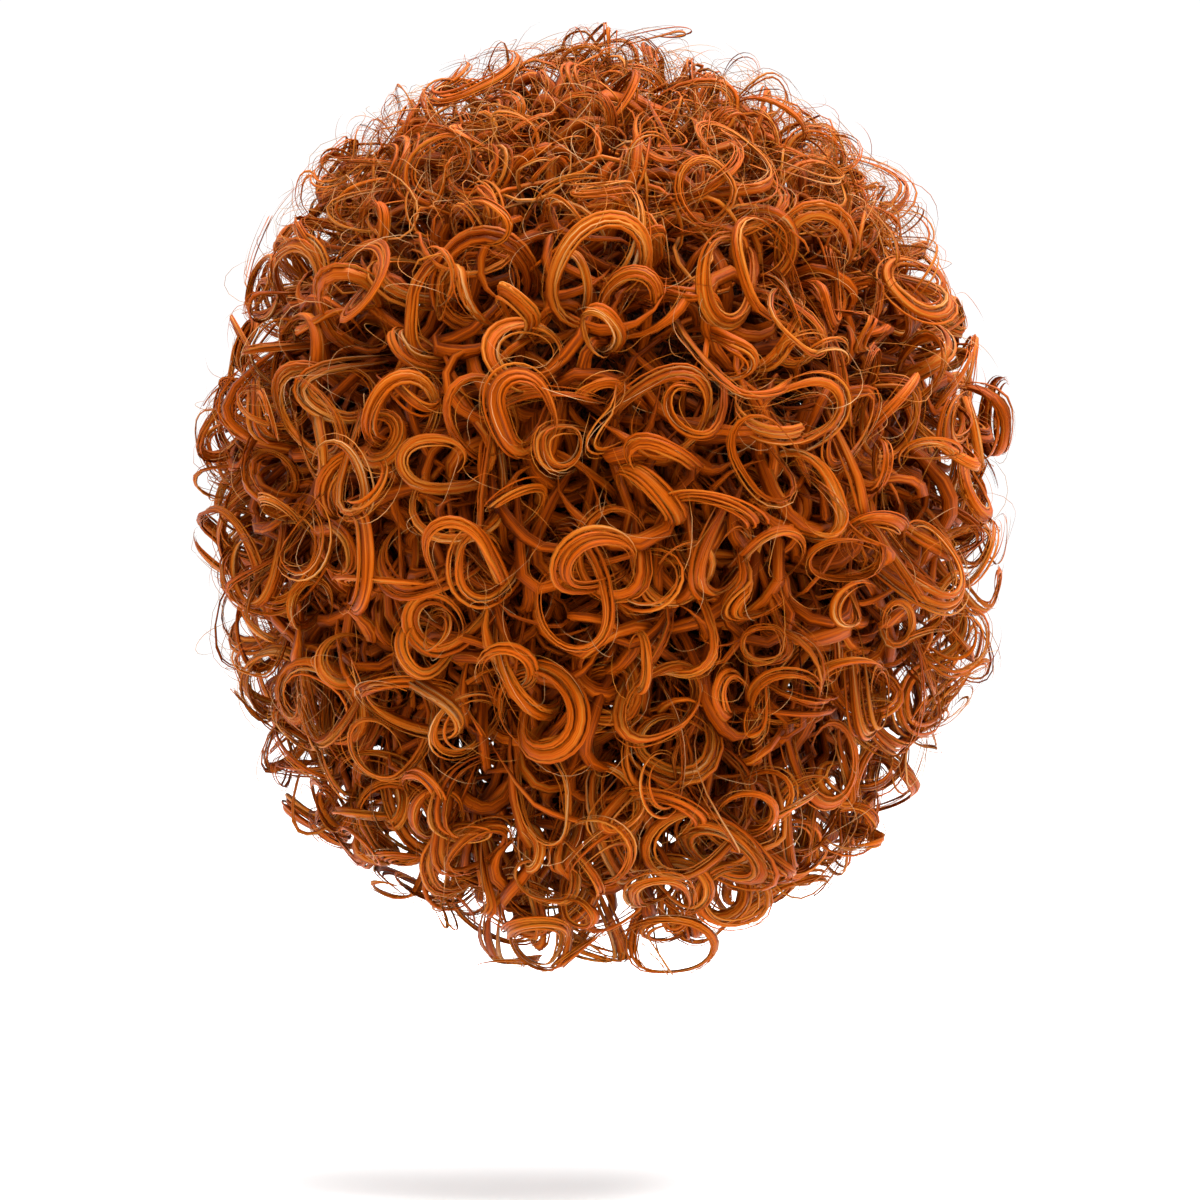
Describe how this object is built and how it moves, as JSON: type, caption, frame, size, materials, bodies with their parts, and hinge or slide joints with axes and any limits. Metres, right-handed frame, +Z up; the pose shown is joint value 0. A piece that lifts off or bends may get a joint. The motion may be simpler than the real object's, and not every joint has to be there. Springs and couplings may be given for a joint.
{
  "type": "short curly wig",
  "caption": "Short curly wig: a fitted cap, open at the face and neck, covered from crown to nape with rows of soft ringlet curls.",
  "frame": {"origin": "inside top of the cap, where it sits on the crown of the head", "axes": "+Z up, -Y out of the face opening, +X to the left of the wearer"},
  "size_m": [0.2987, 0.2895, 0.3438],
  "materials": {
    "cap_net": "knitted stretch net",
    "curled_fibre": "satin curled synthetic fibre"
  },
  "bodies": {
    "root": {"cap": "cap_net", "crown_curls": "curled_fibre", "crown_weft": "curled_fibre", "upper_weft": "curled_fibre", "fringe_weft": "curled_fibre", "temple_weft": "curled_fibre", "ear_weft": "curled_fibre", "jaw_weft": "curled_fibre", "neck_weft": "curled_fibre", "nape_weft": "curled_fibre"}
  },
  "joints": []
}
